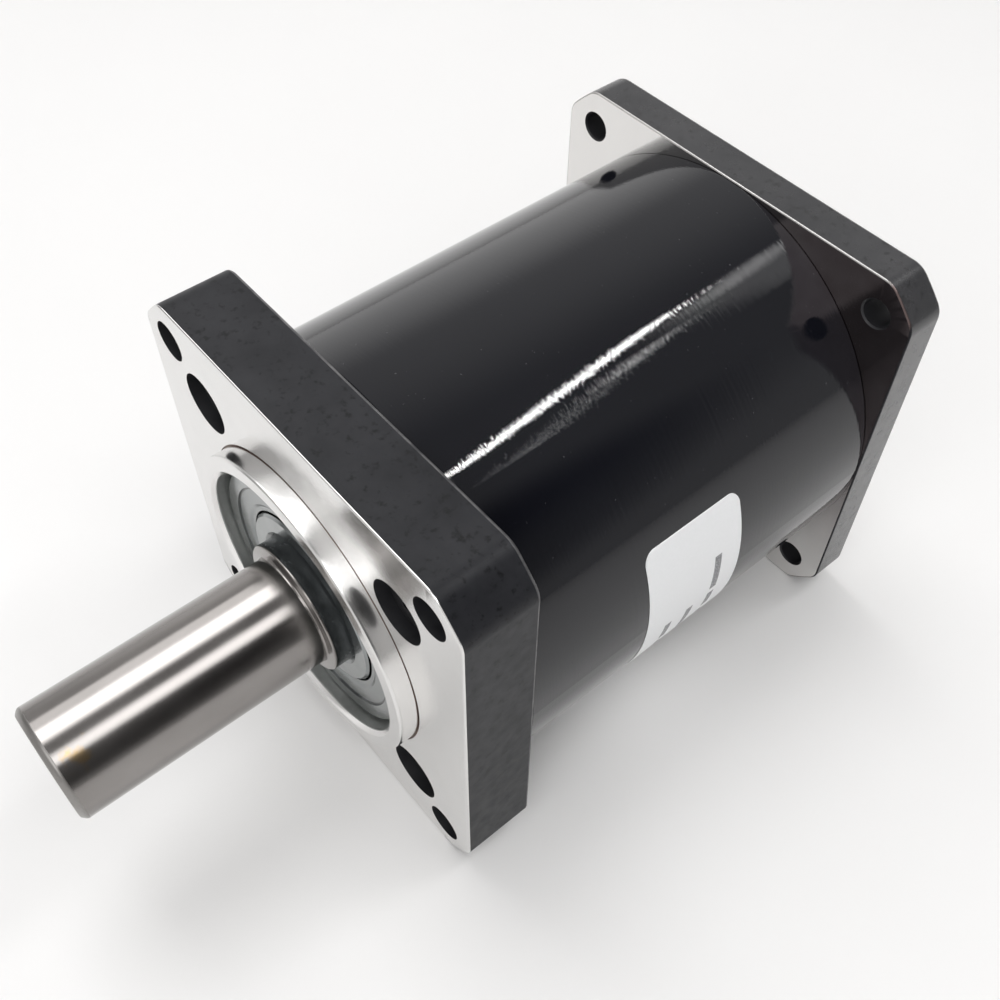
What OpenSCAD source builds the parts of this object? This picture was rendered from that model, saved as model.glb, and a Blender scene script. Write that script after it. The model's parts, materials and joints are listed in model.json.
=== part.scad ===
// Two-stage planetary gearbox with a 57 mm square face, for a stepping motor.
// The axis is Y. The front mounting face is y = 0, the shaft points to -Y and the motor
// bolts on at +Y. Every module is drawn about the local Z axis, and along_axis() turns
// local +Z onto +Y. Distances along the axis are called stations.

/* [Flanges] */
// Width of both square flanges
flange_w = 57; // [57:1:60]
// Diameter to which the flange corners are turned
corner_d = 75; // [74:0.5:76]
// Thickness of the front flange
front_t = 9.5; // [9.5:0.5:12]
// Thickness of the rear flange
rear_t = 5.5; // [5.5:0.5:8]
// Side of the square of outer bolt holes
bolt_square = 47.14; // [46.5:0.02:47.5]
// Diameter of the outer holes in the front flange
front_bolt_d = 5; // [4.5:0.1:5.5]
// Diameter of the tapped holes in the rear flange
rear_bolt_d = 3.7; // [3.3:0.1:4]
// Side of the square of case screws
case_screw_square = 36; // [36:0.1:36.2]
// Diameter of the pilot boss
pilot_d = 40; // [39:0.5:42]
// Height of the pilot boss
pilot_h = 2.5; // [2:0.1:3]

/* [Case] */
// Outer diameter of the ring gear case
case_d = 56.6; // [56:0.1:57]
// Length of the ring gear case
case_l = 55; // [55:1:60]

/* [Output shaft] */
// Diameter of the output shaft
shaft_d = 14; // [10:0.5:15]
// Distance from the mounting face to the tip of the shaft
shaft_reach = 34; // [25:1:45]
// Distance from the mounting face to the step of the bearing journal
step_reach = 3; // [2.6:0.1:4]

/* [Gears] */
// Tooth module
gear_module = 0.55; // [0.545:0.005:0.555]
// Teeth of the ring gear
ring_teeth = 76; // [76:1:76]
// Teeth of the input pinion
pinion_teeth = 8; // [8:1:8]
// Teeth of the second sun gear
second_sun_teeth = 20; // [20:1:20]
// Thinning of each tooth at the pitch circle
tooth_thinning = 0.06; // [0.04:0.01:0.08]

/* [Motor side] */
// Diameter of the motor's pilot recess
motor_pilot_d = 38.15; // [38.1:0.05:38.3]
// Diameter of the motor shaft bore in the collar
motor_shaft_d = 8; // [5:0.5:8]
// Diameter of the pinion collar
collar_d = 16; // [15:0.5:18]
// Length of the pinion collar
collar_l = 9.75; // [9:0.25:10]
// Length of pinion that stands out of its collar
pinion_reach = 12.2; // [12:0.1:12.6]

/* [Hidden] */
$fn = 96;
BLACK = "#1c1c1e";
MACHINED = "#c9cbce";
STEEL = "#8f9296";
GEAR_STEEL = "#6f7276";
BRONZE = "#a9793f";
PAPER = "#e8e8e6";

skin = 0.01;                        // extra depth of a cut through a face
chamfer = 0.3;                      // broken edge on machined parts
edge_c = 0.4;                       // broken edge of the flanges
case_c = 0.1;                       // broken edge of the case ends
corner_blend = 3;                   // radius between a flange's side and its turned corner
hole_chamfer = 0.25;                // broken edge on holes

// Gear tooth proportions
pressure_angle = 25;
addendum = 0.9;
dedendum = 1.1;
sun_shift = 0.2;                    // profile shift of both suns, taken off the planets
flank_steps = 4;
first_planet_teeth = (ring_teeth - pinion_teeth) / 2;
second_planet_teeth = (ring_teeth - second_sun_teeth) / 2;
first_centres = gear_module * (pinion_teeth + first_planet_teeth) / 2;
second_centres = gear_module * (second_sun_teeth + second_planet_teeth) / 2;
first_planets = 3;
second_planets = 4;
ring_tip_r = gear_module * (ring_teeth / 2 - addendum - sun_shift);

// Bearings: two 17 x 35 x 10 deep groove ball bearings
bearing_d = 17;
bearing_D = 35;
bearing_w = 10;
ball_d = 4.76;
ball_count = 10;
ball_orbit_r = (bearing_d + bearing_D) / 4;
ball_play = 0.015;
inner_land_r = 11.45;
outer_land_r = 14.6;
shield_seat_r = 15;
shield_t = 0.3;
shield_inset = 0.2;
cage_wall = 1.2;
cage_half_w = 2.9;
ring_round = 0.6;                   // corner chamfer of the bearing rings

// Stations along the axis, from the front mounting face
front_bearing_y = -0.7;
spacer_l = 2.5;
rear_bearing_y = front_bearing_y + bearing_w + spacer_l;
lip_y = rear_bearing_y + bearing_w;
lip_t = 0.8;
spigot_end_y = lip_y + lip_t;
second_front_plate_y = spigot_end_y + 0.4;
second_front_plate_t = 3.5;
second_gear_y = second_front_plate_y + second_front_plate_t + 0.4;
second_gear_w = 6;
second_rear_plate_y = second_gear_y + second_gear_w + 0.4;
second_rear_plate_t = 2;
first_carrier_y = second_rear_plate_y + second_rear_plate_t + 0.6;
first_carrier_t = 2.5;
first_gear_y = first_carrier_y + first_carrier_t + 0.4;
first_gear_w = 5.5;
first_cover_y = first_gear_y + first_gear_w + 0.4;
first_cover_t = 1;
ring_end_y = first_cover_y + first_cover_t + 0.8;
pinion_y = first_gear_y + 0.1;
collar_y = pinion_y + pinion_reach;
collar_end_y = collar_y + collar_l;
rear_y = front_t + case_l;
rear_face_y = rear_y + rear_t;

// Case and flange details
case_bore_r = 22;
spigot_r = case_bore_r - 0.02;
lip_r = 15.5;
counterbore_d = 7.75;
counterbore_depth = 5.5;
case_tap_depth = 11.5;
rear_spigot_l = 3.5;
rear_opening_r = 12;
motor_pilot_depth = 2;

// Screws, M4
screw_d = 4;
screw_head_d = 7;
screw_head_h = 4;
screw_socket_af = 3;
screw_socket_depth = 2;
front_screw_l = 14;
csk_head_d = 8;
csk_head_h = 2.3;
rear_screw_l = 12;
csk_socket_af = 2.5;

// Output shaft, carriers and planets
shaft_chamfer = 0.6;
hub_r = 10.5;
carrier_r = 19.5;
second_pin_r = 2.5;
second_bush_r = 3.5;
first_pin_r = 2.25;
first_bush_r = 3.25;
bush_play = 0.03;
washer_t = 0.25;
washer_wall = 2.4;
cover_hole_r = 5;
second_sun_stub_r = 3.5;

// Pinion and collar
pinion_shank_r = 3.1;
collar_relief_r = 3.5;
collar_relief_depth = 0.8;
motor_bore_depth = 8.5;
set_screw_stand = 1;
set_screw_y = collar_y + 5;

// Label, wrapped on the case
label_y = 27;
label_w = 15;
label_t = 0.1;
label_corner_r = 1.6;
label_half_angle = 37;              // degrees
label_mid_angle = 12.5;             // degrees below the +X side

// ---- Placing ----

// Turns local +Z onto +Y and moves the shape to a station on the axis
module along_axis(y = 0) {
    rotate([-90, 0, 0])
        translate([0, 0, y])
            children();
}

// Copies a shape to the four corners of a square
module on_square(side) {
    for (x = [-1, 1], z = [-1, 1])
        translate([x * side / 2, z * side / 2, 0])
            children();
}

// ---- Gear outlines ----

function involute(angle) = tan(angle) * 180 / PI - angle;

// Half the angle that a tooth covers at radius r, in degrees
function half_tooth(r, teeth, shift, thinning) =
    let (pitch_r = gear_module * teeth / 2,
         base_r = pitch_r * cos(pressure_angle),
         thick = gear_module * (PI / 2 + 2 * shift * tan(pressure_angle)) - thinning)
    thick / (2 * pitch_r) * 180 / PI + involute(pressure_angle)
        - involute(acos(min(1, base_r / r)));

function polar(r, angle) = [r * cos(angle), r * sin(angle)];

// Radii of the points along one flank
function flank_radii(from_r, to_r) =
    [for (i = [0 : flank_steps]) from_r + (to_r - from_r) * i / flank_steps];

// Outline of an involute gear with a tooth centred on angle 0
function gear_outline(teeth, shift, root_r, tip_r, thinning) =
    let (base_r = gear_module * teeth / 2 * cos(pressure_angle),
         start_r = max(base_r, root_r),
         rising = flank_radii(start_r, tip_r),
         falling = flank_radii(tip_r, start_r),
         foot = half_tooth(start_r, teeth, shift, thinning),
         has_foot = root_r < start_r)
    [for (t = [0 : teeth - 1])
        let (at = 360 / teeth * t)
        each concat(
            has_foot ? [polar(root_r, at - foot)] : [],
            [for (r = rising) polar(r, at - half_tooth(r, teeth, shift, thinning))],
            [for (r = falling) polar(r, at + half_tooth(r, teeth, shift, thinning))],
            has_foot ? [polar(root_r, at + foot)] : [])];

// Outline of an outside gear
function outside_gear(teeth, shift) =
    gear_outline(teeth, shift,
        gear_module * (teeth / 2 - dedendum + shift),
        gear_module * (teeth / 2 + addendum + shift),
        tooth_thinning);

// Outline of the hole in the ring gear, with a tooth space centred on angle 0
function ring_hole() =
    gear_outline(ring_teeth, -sun_shift,
        ring_tip_r,
        gear_module * (ring_teeth / 2 + dedendum - sun_shift),
        -tooth_thinning);

// Angle by which the planet at angle_on_carrier is turned to mesh with the ring
function planet_turn(angle_on_carrier, teeth) =
    angle_on_carrier * (1 - ring_teeth / teeth);

// ---- Shared solids ----

// Square plate with corners turned to corner_d, blended into the sides, and all face
// edges broken
module flange_plate(t) {
    half = flange_w / 2;
    c = edge_c;
    edge = [[-half, c], [-half + c, 0], [half - c, 0], [half, c],
            [half, t - c], [half - c, t], [-half + c, t], [-half, t - c]];
    turned_r = corner_d / 2;
    difference() {
        intersection() {
            rotate([90, 0, 0])
                linear_extrude(height = flange_w, center = true)
                    polygon(edge);
            rotate([90, 0, 90])
                linear_extrude(height = flange_w, center = true)
                    polygon(edge);
            rotate_extrude()
                polygon([[0, 0], [turned_r - c, 0], [turned_r, c], [turned_r, t - c],
                         [turned_r - c, t], [0, t]]);
        }
        for (quarter = [0 : 3], side = [0, 1])
            rotate(90 * quarter)
                mirror([0, side, 0])
                    blend_cut(t);
    }
}

// What lies outside the blend of one flat side into the turned corner, for cutting
module blend_cut(t) {
    r = corner_blend;
    x = flange_w / 2 - r;
    y = sqrt(pow(corner_d / 2 - r, 2) - x * x);
    narrow = r - edge_c - skin;
    translate([x, y, 0])
        difference() {
            translate([0, 0, -skin])
                linear_extrude(height = t + 2 * skin)
                    polygon([[0, 0], [2 * r, 0], polar(2 * r, atan2(y, x))]);
            rotate_extrude()
                polygon([[0, -skin], [narrow, -skin], [r, edge_c], [r, t - edge_c],
                         [narrow, t + skin], [0, t + skin]]);
        }
}

// Through hole with broken edges, for cutting
module hole(d, t) {
    translate([0, 0, -skin])
        cylinder(d = d, h = t + 2 * skin);
    translate([0, 0, -skin])
        cylinder(d1 = d + 2 * (hole_chamfer + skin), d2 = d, h = hole_chamfer + skin);
    translate([0, 0, t - hole_chamfer])
        cylinder(d1 = d, d2 = d + 2 * (hole_chamfer + skin), h = hole_chamfer + skin);
}

// Plain ring with broken corners
module ring(inner_r, outer_r, t, c = 0.1) {
    rotate_extrude()
        polygon([[inner_r, c], [inner_r + c, 0], [outer_r - c, 0], [outer_r, c],
                 [outer_r, t - c], [outer_r - c, t], [inner_r + c, t], [inner_r, t - c]]);
}

// Socket head cap screw whose head stands on station 0 and whose shank runs to +Z
module cap_screw(length) {
    difference() {
        union() {
            rotate_extrude()
                polygon([[0, -screw_head_h], [screw_head_d / 2 - chamfer, -screw_head_h],
                         [screw_head_d / 2, chamfer - screw_head_h], [screw_head_d / 2, 0],
                         [0, 0]]);
            screw_shank(length);
        }
        translate([0, 0, -screw_head_h - skin])
            cylinder(d = screw_socket_af / cos(30), h = screw_socket_depth + skin, $fn = 6);
    }
}

// Threaded shank as a plain cylinder with a chamfered end
module screw_shank(length) {
    r = screw_d / 2 - skin;
    rotate_extrude()
        polygon([[0, 0], [r, 0], [r, length - 2 * chamfer], [r - 2 * chamfer, length],
                 [0, length]]);
}

// Countersunk screw whose flat head ends on station 0 and whose shank runs to -Z
module countersunk_screw(length) {
    head_r = csk_head_d / 2 - skin;
    r = screw_d / 2 - skin;
    difference() {
        rotate_extrude()
            polygon([[0, 0], [head_r, 0], [r, -csk_head_h], [r, 2 * chamfer - length],
                     [r - 2 * chamfer, -length], [0, -length]]);
        translate([0, 0, -1.4])
            cylinder(d = csk_socket_af / cos(30), h = 1.4 + skin, $fn = 6);
    }
}

// ---- Ball bearings ----

// Torus of the ball track, for cutting
module ball_track() {
    rotate_extrude()
        translate([ball_orbit_r, 0])
            circle(r = ball_d / 2 + ball_play, $fn = 48);
}

module bearing_outer_ring() {
    half = bearing_w / 2;
    outer_r = bearing_D / 2;
    seat = half - shield_inset - shield_t;
    difference() {
        rotate_extrude()
            polygon([[outer_land_r, -seat], [shield_seat_r, -seat], [shield_seat_r, -half],
                     [outer_r - ring_round, -half], [outer_r, ring_round - half],
                     [outer_r, half - ring_round], [outer_r - ring_round, half],
                     [shield_seat_r, half], [shield_seat_r, seat], [outer_land_r, seat]]);
        ball_track();
    }
}

module bearing_inner_ring() {
    half = bearing_w / 2;
    bore_r = bearing_d / 2;
    difference() {
        rotate_extrude()
            polygon([[bore_r, ring_round - half], [bore_r + ring_round, -half],
                     [inner_land_r - chamfer, -half], [inner_land_r, chamfer - half],
                     [inner_land_r, half - chamfer], [inner_land_r - chamfer, half],
                     [bore_r + ring_round, half], [bore_r, half - ring_round]]);
        ball_track();
    }
}

module bearing_balls() {
    for (i = [0 : ball_count - 1])
        rotate(360 / ball_count * i)
            translate([ball_orbit_r, 0, 0])
                sphere(d = ball_d, $fn = 32);
}

module bearing_cage() {
    difference() {
        translate([0, 0, -cage_half_w])
            ring(ball_orbit_r - cage_wall / 2, ball_orbit_r + cage_wall / 2, 2 * cage_half_w);
        for (i = [0 : ball_count - 1])
            rotate(360 / ball_count * i)
                rotate([0, 90, 0])
                    cylinder(d = ball_d + 0.2, h = bearing_D / 2);
    }
}

// Pair of pressed shields, clipped into the outer ring
module bearing_shields() {
    seat = bearing_w / 2 - shield_inset - shield_t;
    shield_bore_r = inner_land_r + 0.3;
    for (side = [0, 1])
        mirror([0, 0, side])
            translate([0, 0, seat])
                rotate_extrude()
                    polygon([[shield_bore_r, -0.2], [12.4, -0.2], [12.8, 0],
                             [shield_seat_r, 0], [shield_seat_r, shield_t],
                             [12.7, shield_t], [12.3, shield_t - 0.2],
                             [shield_bore_r, shield_t - 0.2]]);
}

// ---- Case ----

module front_flange() {
    rim_c = 0.5;
    pilot_r = pilot_d / 2;
    bore_r = bearing_D / 2;
    color(MACHINED)
    along_axis()
    difference() {
        union() {
            flange_plate(front_t);
            rotate_extrude()
                polygon([[0, -pilot_h], [pilot_r - rim_c, -pilot_h],
                         [pilot_r, rim_c - pilot_h], [pilot_r, chamfer], [0, chamfer]]);
            rotate_extrude()
                polygon([[0, front_t - chamfer], [spigot_r, front_t - chamfer],
                         [spigot_r, spigot_end_y - chamfer],
                         [spigot_r - chamfer, spigot_end_y], [0, spigot_end_y]]);
        }
        translate([0, 0, -pilot_h - skin])
            cylinder(r = bore_r, h = pilot_h + lip_y + skin);
        translate([0, 0, -pilot_h - skin])
            cylinder(r = lip_r, h = pilot_h + spigot_end_y + 2 * skin);
        translate([0, 0, -pilot_h - skin])
            cylinder(r1 = bore_r + rim_c + skin, r2 = bore_r, h = rim_c + skin);
        on_square(bolt_square)
            hole(front_bolt_d, front_t);
        on_square(case_screw_square) {
            hole(screw_d + 0.4, front_t);
            translate([0, 0, -skin])
                cylinder(d = counterbore_d, h = counterbore_depth + skin);
            translate([0, 0, -skin])
                cylinder(d1 = counterbore_d + 2 * (hole_chamfer + skin), d2 = counterbore_d,
                         h = hole_chamfer + skin);
        }
    }
}

module ring_gear_case() {
    outer_r = case_d / 2;
    c = case_c;
    color(BLACK)
    along_axis(front_t)
    difference() {
        rotate_extrude()
            polygon([[0, 0], [outer_r - c, 0], [outer_r, c], [outer_r, case_l - c],
                     [outer_r - c, case_l], [0, case_l]]);
        translate([0, 0, -skin])
            cylinder(r = case_bore_r, h = spigot_end_y - front_t + skin);
        linear_extrude(height = case_l)
            polygon(ring_hole());
        translate([0, 0, ring_end_y - front_t])
            cylinder(r = case_bore_r, h = case_l);
        on_square(case_screw_square) {
            translate([0, 0, -skin])
                cylinder(d = screw_d, h = case_tap_depth + skin);
            translate([0, 0, case_l - case_tap_depth])
                cylinder(d = screw_d, h = case_tap_depth + skin);
        }
    }
}

module rear_flange() {
    color(MACHINED)
    along_axis(rear_y)
    difference() {
        union() {
            flange_plate(rear_t);
            translate([0, 0, -rear_spigot_l])
                ring(rear_opening_r - 1, spigot_r, rear_spigot_l + chamfer, chamfer);
        }
        translate([0, 0, -rear_spigot_l - skin])
            cylinder(r = rear_opening_r, h = rear_spigot_l + rear_t + 2 * skin);
        translate([0, 0, rear_t - motor_pilot_depth])
            cylinder(d = motor_pilot_d, h = motor_pilot_depth + skin);
        translate([0, 0, rear_t - hole_chamfer])
            cylinder(d1 = motor_pilot_d, d2 = motor_pilot_d + 2 * (hole_chamfer + skin),
                     h = hole_chamfer + skin);
        on_square(bolt_square)
            hole(rear_bolt_d, rear_t);
        on_square(case_screw_square) {
            translate([0, 0, -skin])
                cylinder(d = screw_d + 0.4, h = rear_t + 2 * skin);
            translate([0, 0, rear_t - csk_head_h])
                cylinder(d1 = screw_d, d2 = csk_head_d, h = csk_head_h);
        }
    }
}

module front_flange_screws() {
    color(BLACK)
    along_axis(counterbore_depth)
    on_square(case_screw_square)
        cap_screw(front_screw_l);
}

module rear_flange_screws() {
    color(BLACK)
    along_axis(rear_face_y - skin)
    on_square(case_screw_square)
        countersunk_screw(rear_screw_l);
}

module front_bearing_outer_ring() {
    color(STEEL)
    along_axis(front_bearing_y + bearing_w / 2)
        bearing_outer_ring();
}

module front_bearing_inner_ring() {
    color(STEEL)
    along_axis(front_bearing_y + bearing_w / 2)
        bearing_inner_ring();
}

module front_bearing_balls() {
    color(STEEL)
    along_axis(front_bearing_y + bearing_w / 2)
        bearing_balls();
}

module front_bearing_cage() {
    color(STEEL)
    along_axis(front_bearing_y + bearing_w / 2)
        bearing_cage();
}

module front_bearing_shields() {
    color(STEEL)
    along_axis(front_bearing_y + bearing_w / 2)
        bearing_shields();
}

module rear_bearing_outer_ring() {
    color(STEEL)
    along_axis(rear_bearing_y + bearing_w / 2)
        bearing_outer_ring();
}

module rear_bearing_inner_ring() {
    color(STEEL)
    along_axis(rear_bearing_y + bearing_w / 2)
        bearing_inner_ring();
}

module rear_bearing_balls() {
    color(STEEL)
    along_axis(rear_bearing_y + bearing_w / 2)
        bearing_balls();
}

module rear_bearing_cage() {
    color(STEEL)
    along_axis(rear_bearing_y + bearing_w / 2)
        bearing_cage();
}

module rear_bearing_shields() {
    color(STEEL)
    along_axis(rear_bearing_y + bearing_w / 2)
        bearing_shields();
}

module outer_spacer() {
    color(STEEL)
    along_axis(front_bearing_y + bearing_w)
        ring(shield_seat_r, bearing_D / 2 - skin, spacer_l);
}

module inner_spacer() {
    color(STEEL)
    along_axis(front_bearing_y + bearing_w)
        ring(bearing_d / 2, inner_land_r - chamfer, spacer_l);
}

// ---- Output stage ----

// Pins of a carrier, at equal angles from angle 0
module pins(count, centres, r, length) {
    for (i = [0 : count - 1])
        rotate(360 / count * i)
            translate([centres, 0, 0])
                rotate_extrude()
                    polygon([[0, 0], [r - 0.2, 0], [r, 0.2], [r, length - 0.2],
                             [r - 0.2, length], [0, length]]);
}

// Holes for the pins of a carrier, for cutting
module pin_holes(count, centres, r, t) {
    for (i = [0 : count - 1])
        rotate(360 / count * i)
            translate([centres, 0, -skin])
                cylinder(r = r, h = t + 2 * skin);
}

// Thin washers on the pins, on both sides of the gears
module thrust_washers(count, centres, pin_r, gap_l) {
    for (i = [0 : count - 1], z = [0, gap_l - washer_t])
        rotate(360 / count * i)
            translate([centres, 0, z])
                ring(pin_r + 0.05, pin_r + washer_wall, washer_t, 0.05);
}

// Planet gear in its place on the carrier, turned to mesh with ring and sun
module planet_gear(index, count, teeth, centres, bore_r, w) {
    angle = 360 / count * (index - 1);
    rotate(angle)
        translate([centres, 0, 0])
            rotate(planet_turn(angle, teeth) - angle)
                difference() {
                    linear_extrude(height = w)
                        polygon(outside_gear(teeth, -sun_shift));
                    translate([0, 0, -skin])
                        cylinder(r = bore_r, h = w + 2 * skin);
                }
}

// Bronze bush in a planet gear
module planet_bush(index, count, centres, pin_r, bush_r, w) {
    rotate(360 / count * (index - 1))
        translate([centres, 0, 0])
            ring(pin_r + bush_play, bush_r, w);
}

// Shaft with its bearing journal, hub and front carrier plate, turned from one piece
module output_shaft() {
    r = shaft_d / 2;
    journal_r = bearing_d / 2;
    plate_end_y = second_front_plate_y + second_front_plate_t;
    c = shaft_chamfer;
    color(STEEL)
    difference() {
        along_axis()
        rotate_extrude()
            polygon([[0, -shaft_reach], [r - c, -shaft_reach], [r, c - shaft_reach],
                     [r, -step_reach], [journal_r - chamfer, -step_reach],
                     [journal_r, chamfer - step_reach], [journal_r, lip_y], [hub_r, lip_y],
                     [hub_r, second_front_plate_y],
                     [carrier_r - chamfer, second_front_plate_y],
                     [carrier_r, second_front_plate_y + chamfer],
                     [carrier_r, plate_end_y - chamfer], [carrier_r - chamfer, plate_end_y],
                     [0, plate_end_y]]);
        along_axis(second_front_plate_y)
            pin_holes(second_planets, second_centres, second_pin_r, second_front_plate_t);
    }
}

module output_carrier_plate() {
    color(STEEL)
    along_axis(second_rear_plate_y)
    difference() {
        ring(gear_module * second_sun_teeth / 2 + 1.4, carrier_r, second_rear_plate_t, chamfer);
        pin_holes(second_planets, second_centres, second_pin_r, second_rear_plate_t);
    }
}

module output_planet_pins() {
    color(GEAR_STEEL)
    along_axis(second_front_plate_y)
        pins(second_planets, second_centres, second_pin_r,
             second_rear_plate_y + second_rear_plate_t - second_front_plate_y);
}

module output_planet_gear(index) {
    color(GEAR_STEEL)
    along_axis(second_gear_y)
        planet_gear(index, second_planets, second_planet_teeth, second_centres,
                    second_bush_r, second_gear_w);
}

module output_planet_bush(index) {
    color(BRONZE)
    along_axis(second_gear_y)
        planet_bush(index, second_planets, second_centres, second_pin_r, second_bush_r,
                    second_gear_w);
}

module output_thrust_washers() {
    color(BRONZE)
    along_axis(second_front_plate_y + second_front_plate_t)
        thrust_washers(second_planets, second_centres, second_pin_r,
                       second_rear_plate_y - second_front_plate_y - second_front_plate_t);
}

// ---- First stage ----

module first_carrier() {
    color(STEEL)
    along_axis(first_carrier_y)
    difference() {
        ring(second_sun_stub_r, carrier_r, first_carrier_t, chamfer);
        pin_holes(first_planets, first_centres, first_pin_r, first_carrier_t);
    }
}

// Second sun gear, with a stub pressed into the first carrier
module second_sun_gear() {
    front_y = second_gear_y + 0.3;
    color(GEAR_STEEL)
    along_axis(front_y)
    union() {
        rotate(180 / second_sun_teeth)
            linear_extrude(height = first_carrier_y - front_y)
                polygon(outside_gear(second_sun_teeth, sun_shift));
        cylinder(r = second_sun_stub_r, h = first_carrier_y + first_carrier_t - front_y);
    }
}

module first_planet_pins() {
    color(GEAR_STEEL)
    along_axis(first_carrier_y)
        pins(first_planets, first_centres, first_pin_r,
             first_cover_y + first_cover_t - first_carrier_y);
}

module first_planet_gear(index) {
    color(GEAR_STEEL)
    along_axis(first_gear_y)
        planet_gear(index, first_planets, first_planet_teeth, first_centres,
                    first_bush_r, first_gear_w);
}

module first_planet_bush(index) {
    color(BRONZE)
    along_axis(first_gear_y)
        planet_bush(index, first_planets, first_centres, first_pin_r, first_bush_r,
                    first_gear_w);
}

module first_thrust_washers() {
    color(BRONZE)
    along_axis(first_carrier_y + first_carrier_t)
        thrust_washers(first_planets, first_centres, first_pin_r,
                       first_cover_y - first_carrier_y - first_carrier_t);
}

module first_carrier_cover() {
    color(STEEL)
    along_axis(first_cover_y)
    difference() {
        ring(cover_hole_r, carrier_r, first_cover_t);
        pin_holes(first_planets, first_centres, first_pin_r, first_cover_t);
    }
}

// ---- Input ----

// Pinion with a plain stub at its tip and a round shank in the collar
module input_pinion() {
    root_r = gear_module * (pinion_teeth / 2 - dedendum + sun_shift);
    shank_l = collar_l - motor_bore_depth - collar_relief_depth;
    stub_l = 0.6;
    color(GEAR_STEEL)
    along_axis(pinion_y)
    union() {
        translate([0, 0, stub_l])
            rotate(180 / pinion_teeth)
                linear_extrude(height = pinion_reach - stub_l + collar_relief_depth)
                    polygon(outside_gear(pinion_teeth, sun_shift));
        cylinder(r = root_r - 0.1, h = stub_l + 1);
        translate([0, 0, pinion_reach + collar_relief_depth])
            cylinder(r = pinion_shank_r, h = shank_l);
    }
}

module pinion_collar() {
    outer_r = collar_d / 2;
    c = 0.5;
    color(STEEL)
    difference() {
        along_axis(collar_y)
        difference() {
            rotate_extrude()
                polygon([[0, 0], [outer_r - c, 0], [outer_r, c], [outer_r, collar_l - c],
                         [outer_r - c, collar_l], [0, collar_l]]);
            translate([0, 0, -skin])
                cylinder(r = collar_relief_r, h = collar_relief_depth + skin);
            cylinder(r = pinion_shank_r, h = collar_l);
            translate([0, 0, collar_l - motor_bore_depth])
                cylinder(d = motor_shaft_d, h = motor_bore_depth + skin);
        }
        set_screw_axis()
            cylinder(d = screw_d, h = outer_r);
    }
}

// Places a shape on the radial axis of the set screw, with its base in the motor bore
module set_screw_axis() {
    along_axis(set_screw_y)
        rotate([0, -90, 0])
            translate([0, 0, motor_shaft_d / 2 - 0.6])
                children();
}

module collar_set_screw() {
    inset = 0.65;
    length = collar_d / 2 - motor_shaft_d / 2 - inset + 0.6 + set_screw_stand;
    socket_depth = 1.8;
    color(BLACK)
    set_screw_axis()
    translate([0, 0, inset])
    difference() {
        cylinder(d = screw_d - 2 * skin, h = length);
        translate([0, 0, length - socket_depth])
            cylinder(d = 2 / cos(30), h = socket_depth + skin, $fn = 6);
    }
}

// ---- Label ----

// Thin label with round corners, wrapped on the case
module label() {
    outer_r = case_d / 2 + label_t;
    half_h = case_d / 2 * sin(label_half_angle);
    corner = label_corner_r;
    color(PAPER)
    along_axis(label_y)
    rotate(label_mid_angle)
    intersection() {
        ring(case_d / 2, outer_r, label_w, label_t / 4);
        rotate([90, 0, 90])
            linear_extrude(height = case_d)
                union() {
                    translate([-half_h, corner])
                        square([2 * half_h, label_w - 2 * corner]);
                    translate([corner - half_h, 0])
                        square([2 * (half_h - corner), label_w]);
                    for (x = [-1, 1], y = [corner, label_w - corner])
                        translate([x * (half_h - corner), y])
                            circle(r = corner, $fn = 48);
                }
    }
}

front_flange();
ring_gear_case();
rear_flange();
front_flange_screws();
rear_flange_screws();
front_bearing_outer_ring();
front_bearing_inner_ring();
front_bearing_balls();
front_bearing_cage();
front_bearing_shields();
rear_bearing_outer_ring();
rear_bearing_inner_ring();
rear_bearing_balls();
rear_bearing_cage();
rear_bearing_shields();
outer_spacer();
inner_spacer();
output_shaft();
output_carrier_plate();
output_planet_pins();
output_planet_gear(1);  // output_planet_gear_1
output_planet_gear(2);  // output_planet_gear_2
output_planet_gear(3);  // output_planet_gear_3
output_planet_gear(4);  // output_planet_gear_4
output_planet_bush(1);  // output_planet_bush_1
output_planet_bush(2);  // output_planet_bush_2
output_planet_bush(3);  // output_planet_bush_3
output_planet_bush(4);  // output_planet_bush_4
output_thrust_washers();
first_carrier();
second_sun_gear();
first_planet_pins();
first_planet_gear(1);  // first_planet_gear_1
first_planet_gear(2);  // first_planet_gear_2
first_planet_gear(3);  // first_planet_gear_3
first_planet_bush(1);  // first_planet_bush_1
first_planet_bush(2);  // first_planet_bush_2
first_planet_bush(3);  // first_planet_bush_3
first_thrust_washers();
first_carrier_cover();
input_pinion();
pinion_collar();
collar_set_screw();
label();
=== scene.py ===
"""Looks of a planetary gearbox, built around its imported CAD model.

The frame is in metres: the shaft axis is Y, the front mounting face is y = 0, the shaft
points to -Y and the gearbox lies on the flats of its flanges. The pieces that show are
turned and milled here in mesh code, so that their broken edges catch the light.
"""
import json
import math

import bmesh
import bpy
from mathutils import Matrix, Vector


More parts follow.
